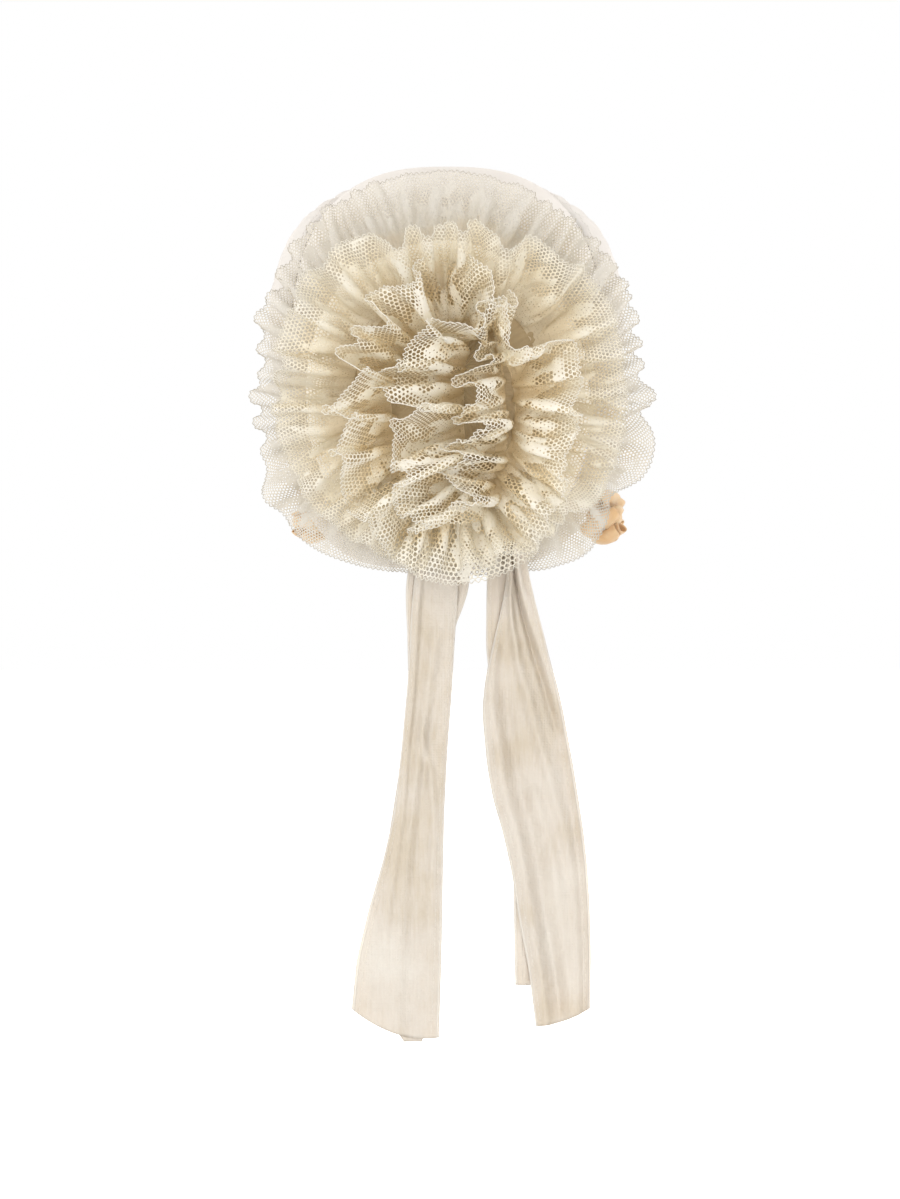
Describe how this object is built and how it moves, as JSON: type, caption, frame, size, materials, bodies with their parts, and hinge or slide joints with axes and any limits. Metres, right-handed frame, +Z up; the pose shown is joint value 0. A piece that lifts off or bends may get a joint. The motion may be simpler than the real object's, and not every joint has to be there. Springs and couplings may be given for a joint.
{
  "type": "ruffled lace cap",
  "caption": "Soft dress cap for the back of the head, with nested tiers of gathered lace, a puffed band, ribbon rosettes and hanging ties at the nape.",
  "frame": {"origin": "inside of the crown's top, where the cap sits on the head", "axes": "+Z up, +Y the way the wearer looks, +X towards the wearer's right, so the lace tiers face -Y"},
  "size_m": [0.2151, 0.2154, 0.4288],
  "materials": {
    "lace": "matte cotton net lace",
    "cap_cloth": "smooth white muslin",
    "tie_silk": "cream silk with a low sheen",
    "rosette_satin": "peach satin ribbon"
  },
  "bodies": {
    "root": {"crown": "cap_cloth", "head_band": "cap_cloth", "ruffle_1": "lace", "ruffle_2": "lace", "ruffle_3": "lace", "ruffle_4": "lace", "ruffle_5": "lace", "rosette_right": "rosette_satin", "rosette_left": "rosette_satin", "tie_left": "tie_silk", "tie_right": "tie_silk"}
  },
  "joints": []
}
